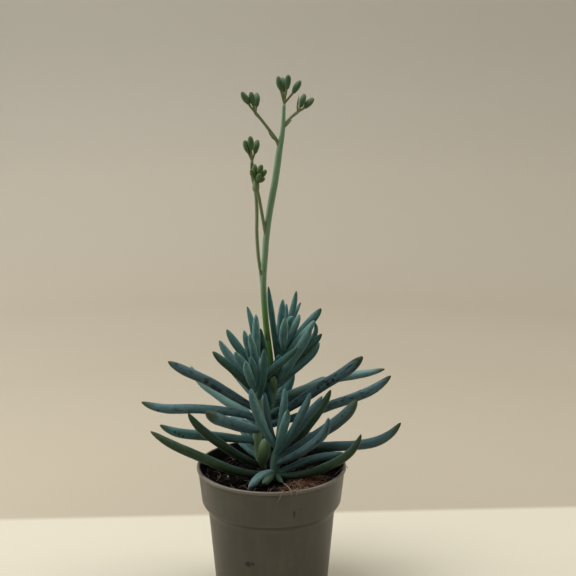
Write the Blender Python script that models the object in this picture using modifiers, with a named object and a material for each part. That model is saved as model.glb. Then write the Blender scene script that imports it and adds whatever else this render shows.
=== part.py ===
"""Potted blue chalksticks: a flowering succulent standing in a thin nursery pot.

The pot is one moulded shell with drainage holes, filled with soil. Three leafy stems stand in
plain holes in the soil, and the middle one carries the branched flower spray. +Z is up, the
front of the plant faces -Y, and the origin is the centre of the pot's flat underside.
"""
import math

import bmesh
import bpy
from mathutils import Vector

MM = 0.001
GAP = 0.3 * MM

# Pot: a common 10.5 cm nursery pot with a rolled lip and a tall collar.
RIM_RADIUS = 52.5 * MM
POT_HEIGHT = 95 * MM
WALL = 1.3 * MM
FLOOR = 2.4 * MM
LIP_HEIGHT = 2.6 * MM
LIP_OUT = 0.9 * MM
LIP_ROUND = 0.6 * MM
COLLAR_FOOT_RADIUS = 49 * MM
COLLAR_HEIGHT = 25.5 * MM
COLLAR_ROUND = (1.4 * MM, 2 * MM)
SHOULDER_HEIGHT = 7 * MM
SHOULDER_HOLLOW = (0.9 * MM, 1.6 * MM)
BODY_TOP_RADIUS = 44.3 * MM
BASE_RADIUS = 39.2 * MM
BASE_CHAMFER = 1.2 * MM
INNER_CORNER = 1 * MM
DRAIN_RADIUS = 3.5 * MM
DRAIN_CIRCLE = 27 * MM
DRAIN_COUNT = 6
DRAIN_FIRST_ANGLE = 30
POT_STEPS = 64
PIN_STEPS = 20

# Soil, with the heap of coarse fibre at the right front.
SOIL_BELOW_RIM = 9 * MM
HEAP_HEIGHT = 5.5 * MM
HEAP_PLACE = (29 * MM, -31 * MM)
HEAP_SPREAD = 14 * MM
SOIL_ROUGHNESS = 0.7 * MM
SOIL_WAVES = (9 * MM, 7 * MM)
SOIL_FROM_WALL = 1.3 * GAP
SOIL_EDGE_FROM_WALL = 1 * MM
SOIL_STEPS = 40
SOIL_RINGS = 8
STEM_HOLE_DEPTH = 12 * MM

# Stems: (across, back, up from the rim) of each bend, and the radius there, in millimetres.
LEFT_STEM = [(-7, 6, -5, 3.4), (-10, 5, 18, 3.2), (-8, 4, 33, 3.1), (-10, 3, 51, 2.9),
             (-10, 3, 68, 2.6), (-10, 3, 73, 1.6)]
MIDDLE_STEM = [(-4, 20, -5, 3.4), (-4, 20, 11, 3.4), (-3, 20, 22, 3.4), (-1.5, 20, 34, 3.4),
               (1, 20, 50, 3.2), (-1, 18, 62, 2.8), (-1, 18, 67, 2.6)]
CROWN_BRANCH = [(1, 20, 48, 2.4), (4, 21, 60, 2.7), (8, 22, 72, 2.6), (9, 22, 80, 1.8)]
FRONT_STEM = [(2, -8, -5, 3.4), (3, -8, 8, 3.0), (4, -8, 16, 1.8)]

# Leaves: how far up from the rim the leaf grows, its heading round the stem (0 is the right,
# 90 the back), its reach and rise, how far it starts below and ends above the straight line in
# degrees, how far it swings sideways in degrees, and its width. Lengths are in millimetres.
LEFT_LEAVES = [
    (-4, 195, 52, 44, 14, 12, 6, 7.0), (2, 118, 37, 4, 0, 5, 0, 6.4),
    (15, 180, 69, 12, 2, 14, -4, 7.4), (24, 225, 48, 24, 11, 4, 6, 8.6),
    (31, 186, 82, 16, -16, 4, 4, 7.0), (28, 160, 52, 37, 8, 20, -6, 6.8),
    (38, 181, 63, 36, 0, -10, 3, 7.2), (50, 193, 31, 33, -3, -8, 5, 6.4),
    (50, 157, 29, 36, 4, 2, -6, 6.0), (58, 227, 21, 27, 3, 2, 8, 6.4),
    (63, 172, 21, 33, 0, -4, 0, 6.2), (53, 255, 26, 28, 8, 4, -8, 6.0),
    (63, 221, 11, 35, 0, 3, 0, 5.4), (67, 256, 17.5, 31, 3, 0, 6, 5.2),
    (71, 128, 11, 40, -8, -20, 0, 4.4), (70, 267, 5.5, 39, 0, 0, 0, 5.4),
    (53, 259, 18, 29.5, 8, 6, 6, 5.8), (46, 284, 20, 42, 4, 2, 16, 5.8),
    (56, 328, 33, 33, -6, -4, 4, 5.6), (-3, 284, 13, 24, 6, 10, 0, 8.2),
    (12, 102, 44, 6, 4, 14, 8, 6.4), (20, 118, 46, 4, 4, 16, -8, 6.4),
    (28, 128, 36, 14, 6, 10, 6, 6.4), (38, 112, 42, 28, 4, 12, -6, 6.4),
    (46, 138, 32, 27, 4, 8, 4, 6.2), (56, 104, 26, 28, 4, 6, 6, 5.6),
]
MIDDLE_LEAVES = [
    (26, 347, 67.7, 51, 6, 1, 4, 8.0), (34, 21, 43, 19, 6, -4, -4, 7.0),
    (41, 6, 82, 20, 1, -12, 6, 6.4), (21.5, 357, 87.5, 38.5, 8, 12, 4, 7.2),
    (9.5, 354, 96, 17.5, 14, 38, -4, 7.4), (44, 243, 16.4, 53, 16, 0, 0, 5.6),
    (50, 322, 33.5, 50, 4, 2, 4, 7.0), (56, 293, 14, 22, 8, 4, 0, 5.8),
    (22, 38, 24, 35, 20, 8, 6, 6.2), (30, 303, 14.5, 9, 6, 10, 0, 5.0),
    (23, 319, 13.5, 6, 6, 10, 0, 4.8), (6, 48, 52, 4, 3, 8, 8, 6.8),
    (14, 98, 54, 20, 6, 14, -6, 6.6), (24, 78, 56, 36, 4, 12, 8, 6.4),
    (30, 118, 48, 34, 4, 10, -4, 6.4), (34, 62, 50, 34, 4, 12, 6, 6.4),
    (44, 104, 40, 34, 4, 8, 6, 6.0), (48, 34, 33, 26, 4, 8, -6, 6.2),
    (56, 124, 24, 36, 4, 6, 0, 5.6), (4, 120, 40, 6, 6, 16, 8, 6.4),
    (2, 108, 46, 12, 4, 14, 0, 6.4), (7, 24, 44, 4, 3, 8, 6, 6.2),
    (46, 278, 10, 15, 4, 6, 0, 5.4), (36, 246, 6.5, 22.5, 14, 10, 0, 7.0),
]
CROWN_LEAVES = [
    (62, 242, 14, 64, -2, 0, 0, 4.4), (66, 63, 4.5, 47, -8, -6, 0, 6.0),
    (76, 80, 12, 32, 0, 6, 0, 3.8), (79, 44, 12, 39, 0, 4, 4, 4.6),
    (76, 52, 20, 32, -14, -30, -6, 3.6), (77, 1, 11, 26, 4, 0, 0, 5.6),
    (73, 353, 27, 35, 3, -8, 4, 6.6), (69, 337, 25, 32, 4, 0, -4, 6.2),
    (66, 302, 16.5, 39, -22, -30, 0, 6.4), (76, 273, 23.5, 30, 4, 0, -6, 6.0),
    (62, 346, 31.5, 29, 4, 0, 4, 6.2), (64, 18, 26, 32, 25, 66, 6, 4.2),
    (54, 0, 31, 29, 14, 9, 0, 7.6), (66, 70, 26, 34, 4, 8, 6, 5.8),
    (72, 122, 16, 26, 2, 4, 0, 5.4),
]
FRONT_LEAVES = [
    (-4, 186, 85, 34, 24, -4, 20, 7.0), (15, 218, 22, 47, 18, 12, 4, 6.6),
    (16, 205, 9, 40, 14, 8, 0, 4.8), (13, 327, 7, 46, 4, 6, 0, 5.8),
    (11, 293, 21, 38, 6, 2, 0, 6.2), (8, 342, 25, 49, 10, 4, -6, 6.0),
    (9, 7, 32.5, 42, 4, -6, 4, 5.4), (4, 22, 42, 48, 14, 8, 0, 6.6),
    (5, 356, 56, 46, 5, 13, -6, 8.8), (3, 323, 45, 43, 13, 32, 6, 6.4),
    (-5, 353, 48, 18.5, -6, -18, 0, 5.4), (-5, 346, 61, 35, 29, 36, -16, 6.4),
    (-3, 232, 28, -3, -25, -35, 4, 5.8), (-3, 252, 24, 1, 4, 6, 0, 5.4),
    (-3, 292, 15, -2, 4, 4, 0, 3.6),
]
# How a leaf's thickness runs from its root to its tip: (share of the length, share of the width).
LEAF_TAPER = [(0, 0.7), (0.14, 0.76), (0.38, 0.96), (0.62, 1), (0.82, 0.88), (0.94, 0.55), (1, 0.15)]
# How far the outer half of a leaf sags below its line before its tip turns up, of its reach.
LEAF_BELLY = 0.022
BELLY_POWER = 1.6

# Flower spray: routes are (across, back, up from the rim, radius), in millimetres.
STALK = [(-1, 18, 72, 2.2), (-4, 18, 98, 2.1), (-5.5, 16, 125, 2.1), (-4.5, 15, 143, 2.1),
         (-3, 14, 162, 2.2), (-0.5, 14, 180, 2.3), (3, 14, 199, 2.3), (6, 14, 220, 2.1),
         (8, 14, 232, 1.6), (9, 14, 250, 1.1)]
LEFT_SHOOT = [(-3, 17, 86, 1.4), (-7, 19, 130, 1.2), (-9, 20, 145, 1.2), (-10, 21, 161, 1.2),
              (-10, 22, 179, 1.2), (-11, 22, 191, 1.1), (-13, 22, 201, 1.1), (-13, 22, 211, 1.1)]
LOW_SHOOT = [(-3, 14, 157, 1.3), (-6, 11, 175, 1.1), (-8, 9, 187, 1.1), (-9, 8, 191, 1.3),
             (-10, 7, 193.5, 2.4), (-10, 7, 197, 2.2), (-10, 8, 199, 1.2)]
LEFT_FORK = [(6, 14, 221, 1.3), (3, 13, 227, 1.2), (-5, 10, 238, 1), (-10, 8, 244, 1.2)]
RIGHT_FORK = [(8, 14, 234, 1.2), (13, 17, 240, 1), (18, 20, 244, 1.1)]
# Buds at the end of each shoot: (across, back, up) from the shoot's end to the bud's tip. Those
# of the low cluster are younger, and smaller by this share.
TOP_BUDS = [(-4, -2, 18), (-1, 4, 17), (3, -4, 19), (11, 2, 15)]
LEFT_BUDS = [(-9, -4, 14), (-3, -2, 14), (1, 6, 13)]
RIGHT_BUDS = [(5, 4, 12), (11, 6, 9)]
MIDDLE_BUDS = [(-5, -2, 14), (-1, -4, 17), (4, 3, 14)]
LOW_BUDS = [(-1, 1, 11), (4, -3, 11), (7, 1, 7), (-3, -5, 8), (3, -7, 5), (1, 6, 8), (6, -4, 2)]
LOW_BUD_SIZE = 0.78
BUD_LENGTH = 9.4 * MM
BUD_RADIUS = 2.1 * MM
BUD_TAPER = [(0, 0.45), (0.16, 0.7), (0.45, 1), (0.72, 0.9), (0.92, 0.56), (1, 0.25)]
BUD_UPRIGHT = 0.1
PEDICEL_RADIUS = 0.75 * MM
PEDICEL_SUNK = 0.8 * MM
BRACT_TIP_RADIUS = 0.4
# Bracts: where each starts, and its tip, in millimetres.
BRACTS = [((-4.5, 16, 129), (-9, 12, 141), 0.9), ((4, 13, 225), (-2, 9, 233), 1.0),
          ((9.5, 14, 234.5), (14.5, 13, 239.5), 0.8), ((18, 20, 243), (19, 16, 256), 0.6)]

# Sides of a tube are 4 more than twice its level.
LEAF_SIDES_LEVEL = 2
BUD_SIDES_LEVEL = 1
WELD = 0.01 * MM

OBJECT_NAME = "potted_blue_chalksticks"


def new_material(name, color, roughness):
    """A Principled material with the real piece's colour and shine."""
    material = bpy.data.materials.new(name)
    material.use_nodes = True
    shader = material.node_tree.nodes["Principled BSDF"]
    shader.inputs["Base Color"].default_value = (*color, 1)
    shader.inputs["Roughness"].default_value = roughness
    shader.inputs["Metallic"].default_value = 0
    return material


def add_object(name, mesh, collection):
    """An object on this mesh, linked to the collection."""
    made = bpy.data.objects.new(name, mesh)
    collection.objects.link(made)
    return made


def finish(obj, material, sharp_from):
    """Gives the object its one material, and smooth faces but for edges sharper than this."""
    obj.data.materials.clear()
    obj.data.materials.append(material)
    obj.data.shade_smooth()
    obj.data.set_sharp_from_angle(angle=math.radians(sharp_from))


def apply_modifiers(obj):
    """Puts what the modifiers make into the object's own mesh."""
    bpy.context.view_layer.update()
    graph = bpy.context.evaluated_depsgraph_get()
    mesh = bpy.data.meshes.new_from_object(obj.evaluated_get(graph))
    obj.modifiers.clear()
    obj.data = mesh


def remove_all(collection):
    """Removes a helper collection with everything in it."""
    for obj in list(collection.objects):
        bpy.data.objects.remove(obj)
    bpy.data.collections.remove(collection)


def from_rim(across, back, up):
    """A point given in millimetres from the centre of the rim."""
    return Vector((across * MM, back * MM, POT_HEIGHT + up * MM))


def turned(name, profile, steps, collection):
    """A turned solid: the closed profile of (radius, height) points spun round the Z axis."""
    mesh = bpy.data.meshes.new(name)
    corners = [(radius, 0, height) for radius, height in profile]
    mesh.from_pydata(corners, [(i, i + 1) for i in range(len(corners) - 1)], [])
    obj = add_object(name, mesh, collection)
    screw = obj.modifiers.new("Turn", "SCREW")
    screw.steps = steps
    screw.render_steps = steps
    screw.use_merge_vertices = True
    screw.merge_threshold = WELD
    return obj


def pot_profile():
    """The pot's outer side from the rim down, then its inner side back up to the rim."""
    collar_foot = POT_HEIGHT - COLLAR_HEIGHT
    body_top = collar_foot - SHOULDER_HEIGHT
    lip_foot = POT_HEIGHT - LIP_HEIGHT
    collar_top_radius = RIM_RADIUS - LIP_OUT
    round_in, round_down = COLLAR_ROUND
    hollow_out, hollow_up = SHOULDER_HOLLOW
    outer = [(RIM_RADIUS - LIP_ROUND, POT_HEIGHT), (RIM_RADIUS, POT_HEIGHT - LIP_ROUND),
             (RIM_RADIUS, lip_foot + LIP_ROUND), (collar_top_radius, lip_foot),
             (COLLAR_FOOT_RADIUS, collar_foot),
             (COLLAR_FOOT_RADIUS - round_in, collar_foot - round_down),
             (BODY_TOP_RADIUS + hollow_out, body_top + hollow_up), (BODY_TOP_RADIUS, body_top),
             (BASE_RADIUS, BASE_CHAMFER), (BASE_RADIUS - BASE_CHAMFER, 0), (0, 0)]
    inner = [(0, FLOOR), (BASE_RADIUS - WALL - INNER_CORNER, FLOOR),
             (BODY_TOP_RADIUS - WALL, body_top),
             (COLLAR_FOOT_RADIUS - WALL, collar_foot + INNER_CORNER),
             (collar_top_radius - WALL, lip_foot),
             (collar_top_radius - WALL, POT_HEIGHT - LIP_ROUND),
             (collar_top_radius - WALL + LIP_ROUND, POT_HEIGHT)]
    return outer + inner + outer[:1]


def cut_away(obj, cutters):
    """Takes everything in the cutters' collection out of the object."""
    cut = obj.modifiers.new("Cut", "BOOLEAN")
    cut.operation = "DIFFERENCE"
    cut.operand_type = "COLLECTION"
    cut.collection = cutters
    apply_modifiers(obj)


def make_pot(parts, cutters, material):
    """The moulded shell with a ring of drainage holes in its floor."""
    pot = turned("pot", pot_profile(), POT_STEPS, parts)
    for number in range(DRAIN_COUNT):
        angle = math.radians(DRAIN_FIRST_ANGLE + number * 360 / DRAIN_COUNT)
        place = (DRAIN_CIRCLE * math.cos(angle), DRAIN_CIRCLE * math.sin(angle), 0)
        add_pin(f"drain_hole_{number}", DRAIN_RADIUS, 4 * FLOOR, place, cutters)
    cut_away(pot, cutters)
    finish(pot, material, 35)


def add_pin(name, radius, height, place, collection):
    """A plain round cutter centred on a place."""
    mesh = bpy.data.meshes.new(name)
    shape = bmesh.new()
    bmesh.ops.create_cone(shape, cap_ends=True, segments=PIN_STEPS, radius1=radius,
                          radius2=radius, depth=height)
    shape.to_mesh(mesh)
    shape.free()
    pin = add_object(name, mesh, collection)
    pin.location = place
    pin.hide_render = True
    pin.display_type = "WIRE"


def soil_height(across, back):
    """The soil's surface: level, a little rough, with the fibre heap at the right front."""
    away = math.hypot(across - HEAP_PLACE[0], back - HEAP_PLACE[1])
    heap = HEAP_HEIGHT * math.exp(-0.5 * (away / HEAP_SPREAD) ** 2)
    a, b = across / SOIL_WAVES[0], back / SOIL_WAVES[1]
    rough = SOIL_ROUGHNESS * (math.sin(a + 1.3 * math.sin(b)) + 0.6 * math.sin(2.3 * b - 1.7 * a))
    return POT_HEIGHT - SOIL_BELOW_RIM + heap + rough


def soil_profile():
    """The soil inside the pot, from its surface's middle out, down the wall and back in."""
    collar_foot = POT_HEIGHT - COLLAR_HEIGHT
    surface = POT_HEIGHT - SOIL_BELOW_RIM
    slope = (RIM_RADIUS - LIP_OUT - COLLAR_FOOT_RADIUS) / (COLLAR_HEIGHT - LIP_HEIGHT)
    wall_radius = COLLAR_FOOT_RADIUS + slope * (surface - collar_foot) - WALL
    edge = wall_radius - SOIL_EDGE_FROM_WALL
    top = [(edge * ring / SOIL_RINGS, surface) for ring in range(SOIL_RINGS + 1)]
    inside = WALL + SOIL_FROM_WALL
    side = [(COLLAR_FOOT_RADIUS - inside, collar_foot + INNER_CORNER),
            (BODY_TOP_RADIUS - inside, collar_foot - SHOULDER_HEIGHT),
            (BASE_RADIUS - INNER_CORNER - inside - GAP, FLOOR + GAP), (0, FLOOR + GAP)]
    return top + side


def make_soil(parts, cutters, material):
    """The soil, raised by its formula, with a plain hole for each stem."""
    soil = turned("soil", soil_profile(), SOIL_STEPS, parts)
    apply_modifiers(soil)
    surface = POT_HEIGHT - SOIL_BELOW_RIM
    for vertex in soil.data.vertices:
        if abs(vertex.co.z - surface) < WELD:
            vertex.co.z = soil_height(vertex.co.x, vertex.co.y)
    for number, stem in enumerate((LEFT_STEM, MIDDLE_STEM, FRONT_STEM)):
        across, back, _, radius = stem[0]
        place = (across * MM, back * MM, surface)
        add_pin(f"stem_hole_{number}", radius * MM + GAP, 2 * STEM_HOLE_DEPTH, place, cutters)
    cut_away(soil, cutters)
    finish(soil, material, 40)


def tube(name, points, radii, sides_level, collection):
    """A closed tube of changing thickness, made as a curve and turned into a mesh."""
    curve = bpy.data.curves.new(name, "CURVE")
    curve.dimensions = "3D"
    curve.bevel_depth = 1
    curve.bevel_resolution = sides_level
    curve.use_fill_caps = True
    spline = curve.splines.new("POLY")
    spline.points.add(len(points) - 1)
    for spot, point, radius in zip(spline.points, points, radii):
        spot.co = (*point, 1)
        spot.radius = radius
    guide = bpy.data.objects.new(name, curve)
    collection.objects.link(guide)
    bpy.context.view_layer.update()
    graph = bpy.context.evaluated_depsgraph_get()
    mesh = bpy.data.meshes.new_from_object(guide.evaluated_get(graph))
    bpy.data.objects.remove(guide)
    shape = bmesh.new()
    shape.from_mesh(mesh)
    bmesh.ops.remove_doubles(shape, verts=shape.verts, dist=WELD)
    bmesh.ops.recalc_face_normals(shape, faces=shape.faces)
    shape.to_mesh(mesh)
    shape.free()
    return add_object(name, mesh, collection)


def bezier(ends, t):
    """A point on the cubic curve with these four control points."""
    a, b, c, d = ends
    s = 1 - t
    return a * s ** 3 + b * 3 * s * s * t + c * 3 * s * t * t + d * t ** 3


def point_up(route, up):
    """Where a stem's middle line is, this far up from the rim."""
    for low, high in zip(route, route[1:]):
        if up <= high[2]:
            break
    share = (up - low[2]) / (high[2] - low[2])
    spot = [low[i] + share * (high[i] - low[i]) for i in range(3)]
    return from_rim(*spot)


def direction(heading, slope):
    """The unit vector with this heading and this slope above the level, in degrees."""
    turn, lift = math.radians(heading), math.radians(slope)
    return Vector((math.cos(lift) * math.cos(turn), math.cos(lift) * math.sin(turn),
                   math.sin(lift)))


def leaf_spine(route, leaf):
    """The leaf's middle line, from inside the stem out to its tip."""
    up, heading, reach, rise, sag, curl, swing, _ = leaf
    slope = math.degrees(math.atan2(rise, reach))
    root = point_up(route, up)
    tip = root + math.hypot(reach, rise) * MM * direction(heading, slope)
    pull = (tip - root).length / 3
    ends = (root, root + pull * direction(heading + swing, slope - sag),
            tip - pull * direction(heading - swing, slope + curl), tip)
    over = Vector((0, 0, 1)) - direction(heading, slope) * math.sin(math.radians(slope))
    drop = over.normalized() * LEAF_BELLY * reach * MM
    return [bezier(ends, share) - drop * math.sin(math.pi * max(0, 2 * share - 1) ** BELLY_POWER)
            for share, _ in LEAF_TAPER]


def add_leaves(route, leaves, collection):
    """One finger-like leaf for each row, with its root at the stem's middle."""
    for number, leaf in enumerate(leaves):
        radii = [0.5 * leaf[-1] * MM * share for _, share in LEAF_TAPER]
        tube(f"leaf_{number}", leaf_spine(route, leaf), radii, LEAF_SIDES_LEVEL, collection)


def route_tube(name, route, sides_level, collection):
    """A tube along rows of (across, back, up, radius)."""
    points = [from_rim(*row[:3]) for row in route]
    return tube(name, points, [row[3] * MM for row in route], sides_level, collection)


def fuse(trunk, collection, material):
    """Joins the collection's pieces to the trunk in one body, and removes them."""
    join = trunk.modifiers.new("Fuse", "BOOLEAN")
    join.operation = "UNION"
    join.operand_type = "COLLECTION"
    join.collection = collection
    apply_modifiers(trunk)
    remove_all(collection)
    finish(trunk, material, 50)


def new_collection(name):
    """An empty collection in the scene."""
    made = bpy.data.collections.new(name)
    bpy.context.scene.collection.children.link(made)
    return made


def make_leafy_stem(name, route, groups, branches, parts, material):
    """A stem with its leaves; each group is (the route that carries them, the leaves' rows)."""
    grown = new_collection(f"{name}_leaves")
    trunk = route_tube(name, in_hole(route), LEAF_SIDES_LEVEL, parts)
    for number, branch in enumerate(branches):
        route_tube(f"branch_{number}", branch, LEAF_SIDES_LEVEL, grown)
    for carrier, leaves in groups:
        add_leaves(carrier, leaves, grown)
    fuse(trunk, grown, material)


def in_hole(route):
    """The stem's route, ended just above the bottom of its hole in the soil."""
    across, back, _, radius = route[0]
    foot = (GAP - SOIL_BELOW_RIM - STEM_HOLE_DEPTH) / MM
    return [(across, back, foot, radius)] + route


def add_bud(name, knob, reach, size, collection):
    """A flower bud on its own short stalk, sunk in a shoot's end."""
    tip = knob + Vector(reach) * MM
    along = Vector(reach).normalized()
    upright = (along + Vector((0, 0, BUD_UPRIGHT))).normalized()
    foot = tip - upright * BUD_LENGTH * size
    points = [knob - along * PEDICEL_SUNK]
    radii = [PEDICEL_RADIUS]
    for share, radius in BUD_TAPER:
        points.append(foot.lerp(tip, share))
        radii.append(radius * BUD_RADIUS * size ** 0.5)
    tube(name, points, radii, BUD_SIDES_LEVEL, collection)


def make_flower_spray(parts, material):
    """The stalk with its side shoots, bracts and buds, seated on the middle stem's top."""
    grown = new_collection("spray_pieces")
    seat = MIDDLE_STEM[-1]
    foot = (seat[0], seat[1], seat[2] + GAP / MM, STALK[0][3])
    stalk = route_tube("flower_spray", [foot] + STALK, LEAF_SIDES_LEVEL, parts)
    shoots = [(STALK, TOP_BUDS, 1), (LEFT_SHOOT, MIDDLE_BUDS, 1),
              (LOW_SHOOT, LOW_BUDS, LOW_BUD_SIZE), (LEFT_FORK, LEFT_BUDS, 1),
              (RIGHT_FORK, RIGHT_BUDS, 1)]
    for number, (route, buds, size) in enumerate(shoots):
        if route is not STALK:
            route_tube(f"shoot_{number}", route, LEAF_SIDES_LEVEL, grown)
        knob = from_rim(*route[-1][:3])
        for count, reach in enumerate(buds):
            add_bud(f"bud_{number}_{count}", knob, reach, size, grown)
    for number, (start, tip, radius) in enumerate(BRACTS):
        middle = [(a + b) / 2 for a, b in zip(start, tip)]
        rows = [(*start, radius), (*middle, radius), (*tip, BRACT_TIP_RADIUS)]
        route_tube(f"bract_{number}", rows, BUD_SIDES_LEVEL, grown)
    fuse(stalk, grown, material)


for old in list(bpy.data.objects):
    bpy.data.objects.remove(old)

parts = new_collection(OBJECT_NAME)
drain_cutters = new_collection("drain_cutters")
stem_cutters = new_collection("stem_cutters")

make_pot(parts, drain_cutters, new_material("pot_plastic", (0.075, 0.062, 0.048), 0.42))
make_soil(parts, stem_cutters, new_material("soil", (0.022, 0.013, 0.008), 0.95))
make_leafy_stem("left_leafy_stem", LEFT_STEM, [(LEFT_STEM, LEFT_LEAVES)], [], parts,
                new_material("left_leaf", (0.065, 0.145, 0.135), 0.5))
make_leafy_stem("flowering_leafy_stem", MIDDLE_STEM,
                [(MIDDLE_STEM, MIDDLE_LEAVES), (CROWN_BRANCH, CROWN_LEAVES)], [CROWN_BRANCH],
                parts, new_material("middle_leaf", (0.07, 0.15, 0.13), 0.5))
make_leafy_stem("front_leafy_stem", FRONT_STEM, [(FRONT_STEM, FRONT_LEAVES)], [], parts,
                new_material("front_leaf", (0.06, 0.13, 0.125), 0.5))
make_flower_spray(parts, new_material("flower_stalk", (0.07, 0.16, 0.07), 0.5))
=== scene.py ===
import random
from math import atan2, cos, degrees, exp, hypot, pi, radians, sin, sqrt

import bmesh
import bpy
import numpy as np
from mathutils import Matrix, Vector, noise


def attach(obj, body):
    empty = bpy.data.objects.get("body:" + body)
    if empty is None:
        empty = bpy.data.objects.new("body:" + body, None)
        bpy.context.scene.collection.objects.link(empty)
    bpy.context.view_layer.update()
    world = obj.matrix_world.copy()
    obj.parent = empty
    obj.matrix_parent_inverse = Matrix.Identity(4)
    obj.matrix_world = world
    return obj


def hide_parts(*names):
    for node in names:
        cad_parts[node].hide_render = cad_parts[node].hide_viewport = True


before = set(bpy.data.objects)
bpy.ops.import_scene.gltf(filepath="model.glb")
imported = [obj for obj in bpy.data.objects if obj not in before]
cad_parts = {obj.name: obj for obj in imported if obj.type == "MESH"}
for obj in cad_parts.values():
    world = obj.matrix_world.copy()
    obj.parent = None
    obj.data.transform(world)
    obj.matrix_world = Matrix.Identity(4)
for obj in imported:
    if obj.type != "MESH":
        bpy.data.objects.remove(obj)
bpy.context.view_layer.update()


# The pot: a thin round nursery pot of taupe plastic, moulded in one piece, with a rolled lip, a
# tall collar by which pots stack, and six drainage holes in its floor. It has been handled and
# watered, so it carries dust, dried splashes and small dark marks.

# Sizes are in millimetres, and times MM in metres. Across is to the right, back is away from
# the camera, and up is from the ground, unless a comment says otherwise.
MM = 0.001
WELD = 0.01 * MM

POT_HEIGHT = 95
POT_STEPS = 128
# Corners of the wall's section as (radius, height, rounding).
POT_OUTSIDE = [(52.5, 95, 0.9), (52.5, 92.5, 0.8), (51.5, 92.1, 0.5), (49, 69.3, 1.7),
               (44.7, 63.4, 2.2), (39.2, 0, 1.3), (0, 0, 0)]
POT_INSIDE = [(0, 2.4, 0), (37.4, 2.4, 1.6), (43, 62.4, 1.5), (47.7, 69.8, 1.5),
              (50.3, 95, 0.6)]
DRAIN_RADIUS = 3.5
DRAIN_CIRCLE = 27
DRAIN_COUNT = 6
DRAIN_FIRST_ANGLE = 30
DRAIN_DEPTH = 12
DRAIN_SIDES = 32
POT_SHARP = 32
# Heights between which the pale lip begins, which is partly rubbed wear and partly a painted
# highlight on its top, and the groove under it, darkened as painted shade, begins and ends.
LIP_FROM = (92.6, 93.4)
SHADED_GROOVE_FROM = (90.6, 91.6)
SHADED_GROOVE_TO = (92.9, 92.5)
# Painted shade darkens the inner wall above the soil: its radius less this share of its
# height, and from what height.
INNER_SHADE_TAPER = 0.11
INNER_SHADE_RADIUS = (40.9, 40.3)
INNER_SHADE_FROM = (64, 68)

POT_TAUPE = (0.043, 0.037, 0.0255, 1)
POT_DUSTY = (0.09, 0.079, 0.06, 1)
# The lip's pale tone: partly rubbed wear, partly a painted highlight on its top.
POT_LIP_WEAR_AND_HIGHLIGHT = (0.16, 0.14, 0.115, 1)
# Dark dirt for the marks and splashes, also used as painted shade in the groove under the lip.
POT_DIRT_AND_SHADE = (0.004, 0.003, 0.002, 1)
# Near black painted shade for the inner wall.
POT_INNER_SHADE = (0.0022, 0.0022, 0.0014, 1)
# Dark marks on the front: (across, back, up, size).
POT_MARKS = [(-15.6, -39.2, 37.9, 3.5), (-12.5, -40.6, 38.6, 2.2), (15.6, -47.4, 79.2, 1.3),
             (15.8, -47.3, 77.7, 1.5), (15.9, -47.2, 76.1, 1.4), (20, -45.8, 80.8, 0.9),
             (-41.6, -13.5, 55.5, 1.2), (-45.7, -20.1, 77.8, 1.2), (-45.5, -20.5, 75.5, 1)]


class Shade:
    """A socket in a material: sums on it add Math nodes, and node() adds any other node."""

    def __init__(self, tree, socket=None):
        self.tree = tree
        self.socket = socket

    def node(self, kind, settings=None, sockets=None, out=0):
        """Adds a node with its settings, then its sockets' values or links."""
        made = self.tree.nodes.new(kind)
        for name, value in (settings or {}).items():
            if name == "stops":
                ramp = made.color_ramp.elements
                while len(ramp) < len(value):
                    ramp.new(0.5)
                for stop, (place, color) in zip(ramp, value):
                    stop.position = place
                    stop.color = color
            else:
                setattr(made, name, value)
        for key, value in (sockets or {}).items():
            if isinstance(value, Shade):
                self.tree.links.new(value.socket, made.inputs[key])
            else:
                made.inputs[key].default_value = value
        return Shade(self.tree, made.outputs[out])

    def math(self, operation, *values):
        return self.node("ShaderNodeMath", {"operation": operation}, dict(enumerate(values)))

    def __add__(self, other):
        return self.math("ADD", self, other)

    def __sub__(self, other):
        return self.math("SUBTRACT", self, other)

    def __rsub__(self, other):
        return self.math("SUBTRACT", other, self)

    def __mul__(self, other):
        return self.math("MULTIPLY", self, other)

    def __truediv__(self, other):
        return self.math("DIVIDE", self, other)

    __radd__ = __add__
    __rmul__ = __mul__

    def rise(self, low, high):
        """0 below low, 1 above high, and smooth between them."""
        return self.node("ShaderNodeMapRange", {"interpolation_type": "SMOOTHSTEP"},
                         {0: self, 1: low, 2: high})

    def between(self, first, second):
        """The first colour where this is 0, turned to the second where it is 1."""
        return self.node("ShaderNodeMix", {"data_type": "RGBA", "clamp_factor": True},
                         {0: self, 6: first, 7: second}, 2)

    def mix(self, mask, color):
        """This colour, turned to another one where the mask is 1."""
        return mask.between(self, color)

    def here(self):
        """The point's place on its object, in metres."""
        return self.node("ShaderNodeTexCoord", None, None, 3)

    def stretched(self, x, y, z):
        """This place, scaled along each axis."""
        return self.node("ShaderNodeVectorMath", {"operation": "MULTIPLY"},
                         {0: self, 1: (x, y, z)})

    def away_from(self, spot):
        """How far this place is from a spot."""
        return self.node("ShaderNodeVectorMath", {"operation": "DISTANCE"},
                         {0: self, 1: spot}, 1)

    def cloud(self, scale, detail=3, rough=0.55):
        """Soft noise from 0 to 1 at this place."""
        return self.node("ShaderNodeTexNoise", None,
                         {"Vector": self, "Scale": scale, "Detail": detail, "Roughness": rough})

    def named(self, name, out=1):
        """What the mesh says at each point under a name: 1 its vector, 2 its number."""
        return self.node("ShaderNodeAttribute", {"attribute_name": name}, None, out)

    def part(self, axis):
        """One number of this vector: 0 its X, 1 its Y, 2 its Z."""
        return self.node("ShaderNodeSeparateXYZ", None, {0: self}, axis)


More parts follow.
